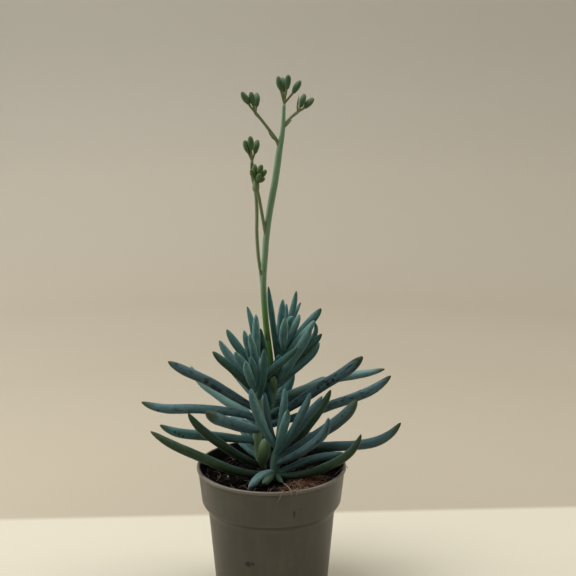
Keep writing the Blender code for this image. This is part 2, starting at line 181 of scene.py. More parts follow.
def new_finish(name, **fixed):
    """A material, the start of its sums, and a way to feed its shader."""
    material = bpy.data.materials.new(name)
    material.use_nodes = True
    tree = material.node_tree
    shader = tree.nodes["Principled BSDF"]
    for key, value in fixed.items():
        shader.inputs[key.replace("_", " ")].default_value = value

    def feed(color, roughness=None, relief=None, depth=0.1):
        bump = relief and relief.node("ShaderNodeBump", None, {
            "Strength": 1.0, "Distance": depth * MM, "Height": relief})
        for key, value in (("Base Color", color), ("Roughness", roughness), ("Normal", bump)):
            if value:
                tree.links.new(value.socket, shader.inputs[key])

    return material, Shade(tree), feed


def spots(place, marks, grain, edge):
    """1 in ragged round marks of (across, back, up, size), 0 outside them."""
    ragged = place.cloud(*grain) * 0.9
    found = 0
    for across, back, high, size in marks:
        away = place.away_from((across * MM, back * MM, high * MM)) + ragged * (size * MM)
        inside = away.rise(edge[0] * size * MM, edge[1] * size * MM)
        found = place.math("MAXIMUM", found, inside)
    return found


def pot_finish():
    """Satin plastic: streaks of dust, a pale lip that is partly rubbed and partly a painted
    highlight, painted shade under the lip and on the inner wall, splashes and dark marks.
    """
    material, start, feed = new_finish("pot_plastic_finish", Specular_IOR_Level=0.5)
    place = start.here()
    up = place.part(2) / MM
    streaks = place.stretched(1, 1, 0.12).cloud(190, 4, 0.6)
    blotches = place.cloud(38, 4, 0.6)
    dust = (blotches * 0.7 + streaks * 0.5).rise(0.5, 0.85)
    color = (dust * 0.55).between(POT_TAUPE, POT_DUSTY)
    # The pale lip: partly rubbed wear, partly a painted highlight where its top catches the light.
    color = color.mix(up.rise(*LIP_FROM) * (0.3 + 0.7 * blotches), POT_LIP_WEAR_AND_HIGHLIGHT)
    # Painted shade: the groove under the lip is darkened.
    color = color.mix(up.rise(*SHADED_GROOVE_FROM) * up.rise(*SHADED_GROOVE_TO) * 0.45, POT_DIRT_AND_SHADE)
    film = (blotches - up * 0.002).rise(0.36, 0.2) * 0.25
    color = color.mix(film, POT_DUSTY)
    splashes = place.cloud(720, 2, 0.6).rise(0.70, 0.76) * place.cloud(60, 2).rise(0.42, 0.6)
    marks = place.math("MAXIMUM", splashes * 0.6, spots(place, POT_MARKS, (900, 2), (1.25, 0.8)))
    color = color.mix(marks * 0.95, POT_DIRT_AND_SHADE)
    # Painted shade: the inner wall above the soil is darkened nearly to black.
    spread = place.stretched(1, 1, 0).away_from((0, 0, 0)) / MM
    inner = (spread - up * INNER_SHADE_TAPER).rise(*INNER_SHADE_RADIUS) * up.rise(*INNER_SHADE_FROM)
    color = color.mix(inner * 0.97, POT_INNER_SHADE)
    grain = place.cloud(1900, 2, 0.5)
    feed(color, 0.4 + 0.16 * dust + 0.2 * marks, grain * 0.35 + streaks * 0.5 + marks * 0.8, 0.12)
    return material


def eased(corners, steps=5):
    """A section's points, with each corner of (radius, height, rounding) turned to an arc."""
    line = []
    for index, (radius, height, rounding) in enumerate(corners):
        corner = Vector((radius, height))
        if rounding == 0:
            line.append(corner)
            continue
        before = Vector(corners[index - 1][:2]) - corner
        after = Vector(corners[(index + 1) % len(corners)][:2]) - corner
        start = corner + before.normalized() * rounding
        end = corner + after.normalized() * rounding
        for step in range(steps + 1):
            t = step / steps
            line.append(start * (1 - t) ** 2 + corner * 2 * t * (1 - t) + end * t * t)
    return line


def settle(obj, kind, **settings):
    """Puts what a modifier makes into the object's own mesh."""
    modifier = obj.modifiers.new(kind, kind)
    for name, value in settings.items():
        setattr(modifier, name, value)
    bpy.context.view_layer.update()
    shown = obj.evaluated_get(bpy.context.evaluated_depsgraph_get())
    mesh = bpy.data.meshes.new_from_object(shown)
    obj.modifiers.clear()
    obj.data = mesh


def add_object(name, content):
    """A new object in the scene, with its mesh, lamp or camera."""
    obj = bpy.data.objects.new(name, content)
    bpy.context.scene.collection.objects.link(obj)
    return obj


def finish_piece(obj, material, sharp_from=None):
    """Gives a piece its one finish, shaded smooth except at sharp edges."""
    obj.data.materials.clear()
    obj.data.materials.append(material)
    obj.data.shade_smooth()
    if sharp_from:
        obj.data.set_sharp_from_angle(angle=radians(sharp_from))
    return obj


def spun(name, line, steps, closed=True):
    """A section of (radius, height) points, spun round the Z axis."""
    mesh = bpy.data.meshes.new(name)
    edges = [(i, i + 1) for i in range(len(line) - 1)]
    if closed:
        edges.append((len(line) - 1, 0))
    mesh.from_pydata([(x * MM, 0, z * MM) for x, z in line], edges, [])
    obj = add_object(name, mesh)
    settle(obj, "SCREW", steps=steps, render_steps=steps, use_merge_vertices=True,
           merge_threshold=WELD)
    return obj


def around(radius, angle):
    """A place across and back, at this distance and heading from the axis."""
    return radius * cos(angle), radius * sin(angle)


def make_pot():
    """The pot's wall in one turn, with its drainage holes cut through the floor."""
    pot = spun("pot_shell", eased(POT_OUTSIDE + POT_INSIDE), POT_STEPS)
    shape = bmesh.new()
    for number in range(DRAIN_COUNT):
        angle = radians(DRAIN_FIRST_ANGLE + number * 360 / DRAIN_COUNT)
        place = Matrix.Translation((*around(DRAIN_CIRCLE * MM, angle), 0))
        bmesh.ops.create_cone(shape, cap_ends=True, segments=DRAIN_SIDES, matrix=place,
                              radius1=DRAIN_RADIUS * MM, radius2=DRAIN_RADIUS * MM,
                              depth=DRAIN_DEPTH * MM)
    mesh = bpy.data.meshes.new("drain_cutter")
    shape.to_mesh(mesh)
    shape.free()
    cutter = add_object("drain_cutter", mesh)
    settle(pot, "BOOLEAN", operation="DIFFERENCE", object=cutter)
    bpy.data.objects.remove(cutter)
    return finish_piece(pot, pot_finish(), POT_SHARP)


pot = make_pot()
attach(pot, "root")
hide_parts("pot")


# The soil: a moist mix of peat and bark that fills the pot to just below the rim. It is dark
# and crumbly, and at the right front coarse reddish fibre has been heaped against the wall.

SOIL_SURFACE = 86
SOIL_EDGE_RADIUS = 48.9
HEAP_HEIGHT = 5.5
HEAP_PLACE = (29, -31)
HEAP_SPREAD = 14
HEAP_CENTRE = 88
# How far from that centre the heap's colour ends and is full, and how ragged its edge is.
HEAP_EDGE = (31, 16)
HEAP_RAGGED = 12
SOIL_RINGS = 64
SOIL_STEPS = 150
CRUMB_RELIEF = 0.9
# Crumbs of three sizes: how wide, their layer of the noise, and their share of the relief.
CRUMBS = [(5.5, 3, 0.9), (2.1, 9, 0.75), (0.9, 17, 0.4)]
# The soil's side and underside as (radius, height), a little inside the wall.
SOIL_SIDE = [(48.6, 84), (47.2, 70.5), (42.5, 62), (36.8, 2.8), (0, 2.8)]

SOIL_BLACK = (0.003, 0.0024, 0.002, 1)
SOIL_BROWN = (0.003, 0.0024, 0.0018, 1)
HEAP_BROWN = (0.046, 0.0145, 0.006, 1)


def from_heap(across, back):
    """How far a place is from the heap's middle."""
    return hypot(across - HEAP_PLACE[0], back - HEAP_PLACE[1])


def soil_height(across, back):
    """The soil's surface: level, a little rough, with its heap of fibre."""
    heap = HEAP_HEIGHT * exp(-0.5 * (from_heap(across, back) / HEAP_SPREAD) ** 2)
    a, b = across / 9, back / 7
    rough = 0.7 * (sin(a + 1.3 * sin(b)) + 0.6 * sin(2.3 * b - 1.7 * a))
    return SOIL_SURFACE + heap + rough


def crumbs(across, back):
    """Fine lumps of the surface, coarser on the heap."""
    lumps = sum(share * noise.noise(Vector((across / width, back / width, layer)))
                for width, layer, share in CRUMBS)
    coarse = 1 + 1.5 * exp(-(from_heap(across, back) / HEAP_SPREAD) ** 2)
    return CRUMB_RELIEF * coarse * lumps


def ground(across, back):
    """The soil's surface with its crumbs."""
    return soil_height(across, back) + crumbs(across, back)


def soil_finish():
    """Black moist crumbs, reddish brown on the heap."""
    material, start, feed = new_finish("soil_finish", Specular_IOR_Level=0.06)
    place = start.here()
    lumps = place.cloud(420, 5, 0.65)
    fine = place.cloud(1700, 3, 0.6)
    color = (lumps * 0.7 + fine * 0.5).rise(0.55, 0.85).between(SOIL_BLACK, SOIL_BROWN)
    centre = (HEAP_PLACE[0] * MM, HEAP_PLACE[1] * MM, HEAP_CENTRE * MM)
    heap = (place.away_from(centre) / MM + place.cloud(150, 3) * HEAP_RAGGED).rise(*HEAP_EDGE)
    color = color.mix(heap * lumps.rise(0.42, 0.6), HEAP_BROWN)
    feed(color, 0.75 + 0.25 * lumps, lumps + fine * 0.6, 0.7)
    return material


def gather(name, pieces, material, sharp_from=None):
    """One piece from meshes, each (points, faces, {name: its values at the points})."""
    points, faces = [], []
    for corners, polygons, _ in pieces:
        base = len(points)
        points.extend(map(tuple, corners))
        faces.extend([tuple(base + i for i in polygon) for polygon in polygons])
    mesh = bpy.data.meshes.new(name)
    mesh.from_pydata(points, [], faces)
    for key in pieces[0][2]:
        values = np.concatenate([marks[key] for _, _, marks in pieces]).astype(np.float32)
        kind, slot = ("FLOAT", "value") if values.ndim == 1 else ("FLOAT_VECTOR", "vector")
        mesh.attributes.new(key, kind, "POINT").data.foreach_set(slot, values.ravel())
    return finish_piece(add_object(name, mesh), material, sharp_from)


def make_soil():
    """The soil in rings from its middle out to the wall, down it, and in under itself."""
    points = [(0, 0, ground(0, 0))]
    for ring in range(1, SOIL_RINGS + 1):
        for step in range(SOIL_STEPS):
            angle = 2 * pi * (step + 0.5 * (ring % 2)) / SOIL_STEPS
            spot = around(SOIL_EDGE_RADIUS * ring / SOIL_RINGS, angle)
            points.append((*spot, ground(*spot)))
    for radius, height in SOIL_SIDE[:-1]:
        for step in range(SOIL_STEPS):
            points.append((*around(radius, 2 * pi * step / SOIL_STEPS), height))
    points.append((0, 0, SOIL_SIDE[-1][1]))
    rows = SOIL_RINGS + len(SOIL_SIDE) - 1
    last = len(points) - 1
    faces = []
    for step in range(SOIL_STEPS):
        after = (step + 1) % SOIL_STEPS
        faces.append((0, 1 + step, 1 + after))
        for row in range(rows - 1):
            a, b = 1 + row * SOIL_STEPS, 1 + (row + 1) * SOIL_STEPS
            faces.append((a + step, b + step, b + after, a + after))
        faces.append((last, b + after, b + step))
    return gather("potting_soil", [(np.array(points) * MM, faces, {})], soil_finish())


soil = make_soil()
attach(soil, "root")
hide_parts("soil")


# Loose pieces on the soil: chips of bark, white perlite grains and coconut fibre. The chips lie
# half sunk in the surface, and the fibre is matted on the heap and straggles over the rim.

CHIP_COUNT = 420
CHIP_SIZES = (1, 3.4)
HEAP_CHIPS = 260
HEAP_CHIP_SIZES = (0.8, 2.4)
# How far from the pot's axis loose pieces lie, and how far from the heap chips are still red.
LOOSE_REACH = 46
CHIP_REACH = 46.5
FIBRE_REACH = 47.5
RED_REACH = 20
GRAIN_COUNT = 34
GRAIN_SIZES = (0.7, 1.9)
# A patch at the left front with more white grains than elsewhere, across and back.
PATCH_GRAINS = 10
GRAIN_PATCH = ((-34, -24), (-33, -22))
FIBRE_COUNT = 300
MATTED_FIBRES = 258
FIBRE_POINTS = 9
FIBRE_SIDES = 4

CHIP_DARK = (0.0035, 0.0028, 0.002, 1)
CHIP_RED = (0.09, 0.03, 0.014, 1)
PERLITE_DUSTY = (0.3, 0.27, 0.23, 1)
PERLITE_WHITE = (0.4, 0.39, 0.35, 1)
FIBRE_RED = (0.066, 0.02, 0.008, 1)
FIBRE_STRAW = (0.24, 0.175, 0.125, 1)
# Strands that lie over the rim: points of (across, back, up), and the radius.
STRAGGLERS = [
    ([(8, -26, 91.5), (10, -35, 93.5), (12, -45, 95.8), (13.3, -50.5, 96.2), (13.8, -53.1, 95),
      (14, -53.4, 92.8)], 0.42),
    ([(8.6, -46, 94), (8.2, -51, 96.2), (7.4, -53.4, 94.8), (6.4, -53, 92), (5.2, -52.6, 89.6),
      (4.4, -52.5, 88.2)], 0.4),
    ([(9.5, -49, 94.5), (9.2, -52, 95.8), (8.2, -53.4, 94.6), (6.8, -53.2, 92.6)], 0.3),
    ([(14.5, -49, 94.8), (16, -50.6, 96.4), (17.5, -49.8, 96.6), (19, -49.4, 95.5),
      (19.6, -50.2, 94)], 0.32),
    ([(15, -47, 94.6), (16.6, -50.6, 96), (17.4, -51.8, 94.8), (17.2, -51.8, 92.6)], 0.3),
    ([(12, -46, 94), (14.6, -50.4, 96), (17, -51.2, 95.4), (18.4, -50.9, 93.4)], 0.24),
    ([(22, -38, 92.5), (24, -43, 94.6), (25.4, -46, 95.8), (25.8, -47.2, 94)], 0.22),
    ([(43, -13, 91), (48, -12, 95.4), (50.6, -11, 97.2), (52.4, -10.4, 97),
      (53.2, -10, 95.2)], 0.25),
    ([(41, -20, 91), (44, -23, 94), (46, -24, 95.6), (47.6, -22, 96)], 0.25),
]


def loose_finish(name, dark, light, rough):
    """A finish that goes from dark to light with each piece's own tone."""
    material, start, feed = new_finish(name, Specular_IOR_Level=0.15)
    speckle = start.here().cloud(1500, 3, 0.6)
    tone = start.named("tone", 2) + (speckle - 0.5) * 0.5
    feed(tone.between(dark, light), rough + 0.2 * speckle, speckle, 0.25)
    return material


def lump(draw, centre, size, level, tone):
    """A small uneven lump of about this size, turned any way."""
    shape = bmesh.new()
    bmesh.ops.create_icosphere(shape, subdivisions=level, radius=0.5)
    spin = Vector([draw.uniform(-3, 3) for _ in range(3)])
    stretch = Vector([draw.uniform(0.5, 1.3) * size for _ in range(3)])
    turn = Vector((0, 0, 1)).rotation_difference(spin).to_matrix()
    corners = [(Vector(centre) + turn @ (v.co * draw.uniform(0.75, 1.25) * stretch)) * MM
               for v in shape.verts]
    faces = [[v.index for v in face.verts] for face in shape.faces]
    shape.free()
    return corners, faces, {"tone": [tone] * len(corners)}


def on_soil(draw, inner=0, outer=LOOSE_REACH):
    """A place on the soil, drawn evenly over its surface."""
    radius = sqrt(draw.uniform(inner ** 2, outer ** 2))
    return around(radius, draw.uniform(0, 2 * pi))


def make_chips():
    """Bark chips over all the soil, then more of them on the heap."""
    draw = random.Random(11)
    pieces = []
    for number in range(CHIP_COUNT + HEAP_CHIPS):
        across, back = on_soil(draw)
        size = draw.uniform(*CHIP_SIZES)
        if number >= CHIP_COUNT:
            across, back = draw.gauss(HEAP_PLACE[0] - 2, 9), draw.gauss(HEAP_PLACE[1] - 1, 7)
            size = draw.uniform(*HEAP_CHIP_SIZES)
            if hypot(across, back) > CHIP_REACH:
                continue
        height = ground(across, back) + 0.1 * size
        tone = draw.uniform(0, 1 if from_heap(across, back) < RED_REACH else 0.12)
        pieces.append(lump(draw, (across, back, height), size, 1, tone))
    finish = loose_finish("bark_finish", CHIP_DARK, CHIP_RED, 0.6)
    return gather("bark_chips", pieces, finish, 20)


def make_perlite():
    """White grains, some of them in a patch."""
    draw = random.Random(23)
    pieces = []
    for number in range(GRAIN_COUNT):
        across, back = on_soil(draw, 6)
        if number < PATCH_GRAINS:
            across, back = [draw.uniform(*span) for span in GRAIN_PATCH]
        height = ground(across, back) + 0.2
        size = draw.uniform(*GRAIN_SIZES)
        pieces.append(lump(draw, (across, back, height), size, 2, draw.uniform(0.4, 1)))
    finish = loose_finish("perlite_finish", PERLITE_DUSTY, PERLITE_WHITE, 0.75)
    return gather("perlite_grains", pieces, finish)


def unit(vectors):
    """The same directions, each with the length 1."""
    return vectors / np.linalg.norm(vectors, axis=-1, keepdims=True)


def strand(line, radius, tone, sides=FIBRE_SIDES):
    """A thin fibre along a line of points, fine at both ends."""
    line = np.array(line, float)
    points = []
    for number, (centre, tangent) in enumerate(zip(line, unit(np.gradient(line, axis=0)))):
        side = unit(np.cross(tangent, (0.3, 0.2, 0.93)))
        other = np.cross(tangent, side)
        share = number / (len(line) - 1)
        size = radius * (0.35 + 0.65 * sin(pi * share) ** 0.5)
        for step in range(sides):
            angle = 2 * pi * step / sides
            points.append((centre + size * (cos(angle) * side + sin(angle) * other)) * MM)
    faces = [tuple(range(sides))[::-1], tuple(range(len(points) - sides, len(points)))]
    for ring in range(len(line) - 1):
        for step in range(sides):
            a, b = ring * sides + step, ring * sides + (step + 1) % sides
            faces.append((a, b, b + sides, a + sides))
    return points, faces, {"tone": [tone] * len(points)}


def smooth_line(corners, steps):
    """A smooth curve through the corners."""
    ends = [2 * np.array(corners[0], float) - corners[1]] + [np.array(c, float) for c in corners]
    ends.append(2 * ends[-1] - ends[-2])
    line = []
    for a, b, c, d in zip(ends, ends[1:], ends[2:], ends[3:]):
        for step in range(steps):
            t = step / steps
            line.append(0.5 * (2 * b + (c - a) * t + (2 * a - 5 * b + 4 * c - d) * t * t
                               + (3 * b - a - 3 * c + d) * t ** 3))
    return line + [ends[-2]]


def make_fibres():
    """Fibre matted on the heap, single strands elsewhere, and the ones over the rim."""
    draw = random.Random(37)
    pieces = []
    for number in range(FIBRE_COUNT):
        if number < MATTED_FIBRES:
            across = draw.gauss(HEAP_PLACE[0], 10)
            back = draw.gauss(HEAP_PLACE[1], 8)
            tone = draw.uniform(0, 0.55)
        else:
            across, back = on_soil(draw, 4, 45)
            tone = draw.uniform(0, 1)
        heading = draw.uniform(0, 2 * pi)
        bend = draw.uniform(-0.2, 0.2)
        lift = draw.uniform(0.2, 1.6)
        step = draw.uniform(0.8, 2.2)
        line = []
        for spot in range(FIBRE_POINTS):
            if hypot(across, back) > FIBRE_REACH:
                break
            hump = lift * sin(pi * spot / (FIBRE_POINTS - 1))
            height = soil_height(across, back) + crumbs(across, back) * 0.6 + 0.15 + hump
            line.append((across, back, height))
            heading += bend + draw.uniform(-0.3, 0.3)
            across += step * cos(heading)
            back += step * sin(heading)
        if len(line) > 4:
            pieces.append(strand(line, draw.uniform(0.1, 0.3), tone))
    for line, radius in STRAGGLERS:
        pieces.append(strand(smooth_line(line, 6), radius, draw.uniform(0.6, 0.9)))
    return gather("coir_fibres", pieces, loose_finish("coir_finish", FIBRE_RED, FIBRE_STRAW, 0.6))


for loose in (make_chips(), make_perlite(), make_fibres()):
    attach(loose, "root")


# The left stem and its leaves: a soft green stem set round with plump finger-like leaves, each
# grown from it. Their skin is waxy, with a pale blue bloom that rubs off dark, and olive tips.

# Stems: (across, back, up from the rim, radius).
LEFT_STEM = [(-7, 6, -10, 3.4), (-7, 6, -5, 3.4), (-10, 5, 18, 3.2), (-8, 4, 33, 3.1),
             (-10, 3, 51, 2.9), (-10, 3, 68, 2.6), (-10, 3, 73, 1.6)]
# Leaves: how far up from the rim the leaf grows, its heading round the stem (0 is the right, 90
# the back), its reach and rise, how far it starts below and ends above the straight line in
# degrees, how far it swings sideways in degrees, and its width; then its shade, from 0, pale
# blue, through teal to 1, dark green, and fresh green past 1.1, which is partly the leaf's own
# colour and partly painted shade on leaves that lie in shadow; its olive tip; and its scuffs.
LEFT_LEAVES = [
    (-4, 195, 52, 44, 14, 12, 6, 7, 1.04, 0.5, 0), (2, 118, 37, 4, 0, 5, 0, 6.4, 0.6, 0.4, 0),
    (15, 180, 69, 12, 2, 14, -4, 7.4, 0.6, 0.8, 0.2),
    (24, 225, 48, 24, 11, 4, 6, 8.6, 0.32, 1.6, 0.7),
    (31, 186, 82, 16, -16, 4, 4, 7, 0.42, 0.9, 0.6),
    (28, 160, 52, 37, 8, 20, -6, 6.8, 0.02, 0.3, 0),
    (38, 181, 63, 36, 0, -10, 3, 7.2, 0.85, 0.7, 0.8),
    (50, 193, 31, 33, -3, -8, 5, 6.4, 0.84, 0.5, 0), (50, 157, 29, 36, 4, 2, -6, 6, 0.42, 0.3, 0.5),
    (58, 227, 21, 27, 3, 2, 8, 6.4, 0.18, 0.3, 0), (63, 172, 21, 33, 0, -4, 0, 6.2, 0.64, 0.6, 0.1),
    (53, 255, 26, 28, 8, 4, -8, 6, 0.22, 0.1, 0), (63, 221, 11, 35, 0, 3, 0, 5.4, 0.2, 0.2, 0),
    (67, 256, 17.5, 31, 3, 0, 6, 5.2, 0.14, 0.2, 0),
    (71, 128, 11, 40, -8, -20, 0, 4.4, 0.62, 0.6, 0.1),
    (70, 267, 5.5, 39, 0, 0, 0, 5.4, 0.08, 0.2, 0), (53, 259, 18, 29.5, 8, 6, 6, 5.8, 0.34, 0.1, 0),
    (46, 284, 20, 42, 4, 2, 16, 5.8, 0.5, 0.2, 0), (56, 328, 33, 33, -6, -4, 4, 5.6, 0.72, 0.3, 0),
    (-3, 284, 13, 24, 6, 10, 0, 8.2, 1.2, 0, 0), (12, 102, 44, 6, 4, 14, 8, 6.4, 0.5, 0.6, 0.3),
    (20, 118, 46, 4, 4, 16, -8, 6.4, 0.4, 0.7, 0.2),
    (28, 128, 36, 14, 6, 10, 6, 6.4, 0.3, 0.5, 0.1),
    (38, 112, 42, 28, 4, 12, -6, 6.4, 0.35, 0.5, 0.2),
    (46, 138, 32, 27, 4, 8, 4, 6.2, 0.25, 0.4, 0), (56, 104, 26, 28, 4, 6, 6, 5.6, 0.35, 0.3, 0),
]
# Dark sores on the skin: (across, back, up, size).
LEFT_SORES = [(-13.4, -2.6, 112.3, 0.9), (-12.6, -2.6, 111.2, 0.8), (-40.4, -1.3, 150.6, 4.2),
              (-36.6, -1.4, 148.8, 3), (-45.2, -1.1, 155.4, 2), (-52.3, 3, 164, 1),
              (-83.7, -7, 137.5, 0.9), (-78.2, -7, 136.8, 1.2), (-67.8, 2.4, 117.5, 1.3),
              (-62.3, 2.7, 114.5, 1.5), (-65, 2.5, 115.8, 1.3), (-33, -24, 132.6, 1.2)]
LEAF_SHARES = np.concatenate([np.linspace(0, 0.88, 23), (0.91, 0.94, 0.965, 0.985, 0.996, 1)])
LEAF_SIDES = 16
LEAF_GROOVE = 0.18
LEAF_WOBBLE = 0.07
# How far the outer half of a leaf sags below its line before its tip turns up, of its reach.
LEAF_BELLY = 0.022
BELLY_POWER = 1.6
STEM_SIDES = 20
STEM_WOBBLE = 0.08
# Each leaf has a number of its own, so that no two have the same pattern. So has each stem, and
# stems are numbered this far above their first leaf.
STEM_NUMBERS = 50

PALE_BLOOM = (0.155, 0.282, 0.262, 1)
BLUE_TEAL = (0.058, 0.148, 0.147, 1)
DEEP_TEAL = (0.027, 0.083, 0.077, 1)
DARK_GREEN = (0.019, 0.038, 0.0125, 1)
LEAF_TONES = [(0, PALE_BLOOM), (0.33, BLUE_TEAL), (0.66, DEEP_TEAL), (0.96, DARK_GREEN)]
FRESH_GREEN = (0.12, 0.2, 0.098, 1)
SLATE_BLUE = (0.05, 0.085, 0.115, 1)
# Near black painted shade for the roots of dark leaves, where they crowd at the stem.
LEAF_ROOT_SHADE = (0.006, 0.014, 0.008, 1)
TIP_OLIVE = (0.032, 0.052, 0.014, 1)
TIP_BROWN = (0.03, 0.013, 0.008, 1)
SCUFF_DARK = (0.01, 0.016, 0.024, 1)
STEM_GREEN = (0.16, 0.25, 0.155, 1)
# The stems' darker blue teal: partly their own hue, partly painted shade on stems in shadow.
STEM_TEAL_AND_SHADE = (0.04, 0.085, 0.075, 1)
STEM_BARK = (0.05, 0.04, 0.026, 1)


def leaf_finish(name, sores):
    """Waxy leaf skin: bloom, rubbed streaks, olive and brown tips, dark scuffs and sores, with
    painted light and shade: paler tops, darker undersides, a painted highlight along the edges,
    painted shade at the roots of dark leaves, and stems darkened partly by painted shade.
    """
    material, start, feed = new_finish(name, Sheen_Weight=0.14, Sheen_Roughness=0.45,
                                       Sheen_Tint=(0.75, 0.95, 1, 1), Specular_IOR_Level=0.16)
    place = start.named("place")
    share = start.named("share", 2)
    upper = start.named("upper", 2)
    look = start.named("look")
    shade, tip, scuffs = look.part(0), look.part(1), look.part(2)
    is_stem = start.named("is_stem", 2)
    streaks = place.stretched(0.07, 0.75, 0.75).cloud(1, 5, 0.65)
    mottle = place.stretched(0.22, 0.3, 0.3).cloud(1, 4, 0.6)
    fine = place.cloud(2.2, 3, 0.6)
    # Painted light and shade: each leaf's upper side is paler and its underside darker, by the
    # upper term.
    depth = shade - 0.2 * upper + (streaks - 0.5) * 0.9 + (mottle - 0.5) * 0.55
    color = depth.node("ShaderNodeValToRGB", {"stops": LEAF_TONES}, {0: depth})
    color = color.mix(scuffs.rise(0.05, 0.7) * (0.25 + 0.6 * mottle), SLATE_BLUE)
    # Pale edges along each leaf: partly its bloom, partly a painted highlight.
    edge = upper.math("ABSOLUTE", upper).rise(0.5, 0.05)
    color = color.mix(edge * streaks.rise(0.4, 0.6) * (0.4 - 0.3 * shade), PALE_BLOOM)
    fresh = shade.rise(1.05, 1.15) * (0.7 + share.rise(0.2, 0.75) * 0.3)
    color = color.mix(fresh, FRESH_GREEN)
    # Painted shade: dark green leaves darken towards their roots, among the other leaves.
    root_shade = shade.rise(0.85, 0.95) * shade.rise(1.1, 1.06) * share.rise(0.55, 0.1)
    color = color.mix(root_shade * 0.7, LEAF_ROOT_SHADE)
    rubbed = (fine * 0.5 + streaks * 0.6).rise(0.6, 0.7)
    color = color.mix(rubbed * 0.3, DEEP_TEAL)
    olive = (share + (mottle - 0.5) * 0.1 + tip * 0.09).rise(0.95, 1.06) * tip.rise(0, 0.5)
    color = color.mix(olive * 0.9, TIP_OLIVE)
    brown = (share + (fine - 0.5) * 0.03).rise(0.975, 0.997) * tip.rise(0.2, 0.8)
    color = color.mix(brown * 0.85, TIP_BROWN)
    worn = place.stretched(0.13, 0.33, 0.33).cloud(1.4, 6, 0.7)
    scars = (worn + scuffs * 0.12).rise(0.64, 0.70) * scuffs.rise(0.35, 0.7)
    sunken = spots(start.here(), sores, (700, 3), (1.3, 0.95)) * 1.2
    scars = scars.math("MAXIMUM", scars, sunken)
    color = color.mix(scars * 0.75, SCUFF_DARK)
    specks = place.cloud(1.6, 1, 0.5).rise(0.76, 0.8)
    color = color.mix(specks * 0.5, SCUFF_DARK)
    bark = (share + (streaks - 0.5) * 0.1).rise(0.14, 0.05)
    # Stems: bark low down, and a tint towards darker teal that is partly painted shade.
    stem_color = shade.between(STEM_GREEN, STEM_TEAL_AND_SHADE).mix(bark, STEM_BARK)
    color = color.mix(is_stem.rise(0, 0.1), stem_color)
    feed(color, 0.5 + 0.12 * streaks - 0.1 * rubbed + 0.15 * scars,
         fine * 0.35 + streaks * 0.4 - scars * 0.6 - specks * 0.3, 0.16)
    return material


def skin(spine, radii, up, marks, sides, flat=1, groove=0, wobble=0, ribs=0, rib_depth=0):
    """One closed skin round a spine, with each point's place on it.

    Its marks are three numbers for its look, its own number, and 1 on a stem.
    """
    spine = np.array(spine, float)
    steps = np.linalg.norm(np.diff(spine, axis=0), axis=1)
    along = np.concatenate([[0], np.cumsum(steps)])
    tangents = unit(np.gradient(spine, axis=0))
    angles = np.arange(sides) * 2 * pi / sides
    dip = np.exp(-((angles - pi / 2) / 0.55) ** 2)
    top = np.array(up, float)
    points, places = [], []
    seed = 7 * marks[3]
    for centre, tangent, radius, reach in zip(spine, tangents, radii, along):
        top = unit(top - tangent * top.dot(tangent))
        side = np.cross(tangent, top)
        swell = 1 + rib_depth * np.cos(ribs * angles)
        if wobble:
            swell = swell + [wobble * noise.noise(Vector((reach / 9 + seed, cos(a) + seed,
                                                          sin(a)))) for a in angles]
        across = radius * swell * np.cos(angles)
        hollow = 1 - groove * sin(pi * min(1, reach / along[-1])) * dip
        high = radius * flat * swell * np.sin(angles) * hollow
        points.append(centre + np.outer(across, side) + np.outer(high, top))
        places.append(np.stack([np.full(sides, reach), across, high], axis=1))
    points = np.concatenate([*points, spine[[0, -1]]]) * MM
    places.append([[0, 0, 0], [along[-1], 0, 0]])
    rings = len(spine)
    faces = []
    for step in range(sides):
        after = (step + 1) % sides
        for ring in range(rings - 1):
            a, b = ring * sides, (ring + 1) * sides
            faces.append((a + step, a + after, b + after, b + step))
        faces.append((rings * sides, after, step))
        faces.append((rings * sides + 1, b + step, b + after))
    count = len(points)
    values = {"place": np.concatenate(places) + (seed * 3.1, seed, -seed),
              "share": np.append(np.repeat(along / along[-1], sides), (0, 1)),
              "upper": np.append(np.tile(np.sin(angles), rings), (0, 0)),
              "look": np.tile(np.array(marks[:3], np.float32), (count, 1)),
              "is_stem": np.full(count, marks[4])}
    return points, faces, values


def direction(heading, slope):
    """The unit vector with this heading and this slope above the level, in degrees."""
    turn, lift = radians(heading), radians(slope)
    return np.array((*around(cos(lift), turn), sin(lift)))


def from_ground(point):
    """A point that is given up from the rim, as one up from the ground."""
    return np.array(point, float) + (0, 0, POT_HEIGHT)


def point_up(route, up):
    """Where a stem's middle line is, this far up from the rim."""
    for low, high in zip(route, route[1:]):
        if up <= high[2]:
            break
    share = (up - low[2]) / (high[2] - low[2])
    return from_ground([low[i] + share * (high[i] - low[i]) for i in range(3)])


def leaf_width(share, width, worn):
    """How wide a leaf is here, of its full width: plump and worn leaves are blunter."""
    root = min(1, share / 0.5)
    swell = 0.7 + 0.3 * root * root * (3 - 2 * root)
    shoulder = 0.46 + 0.03 * width + 0.12 * worn
    end = max(0, (share - shoulder) / (1 - shoulder))
    return max(0.03, swell * max(0, 1 - end * end) ** 0.56)


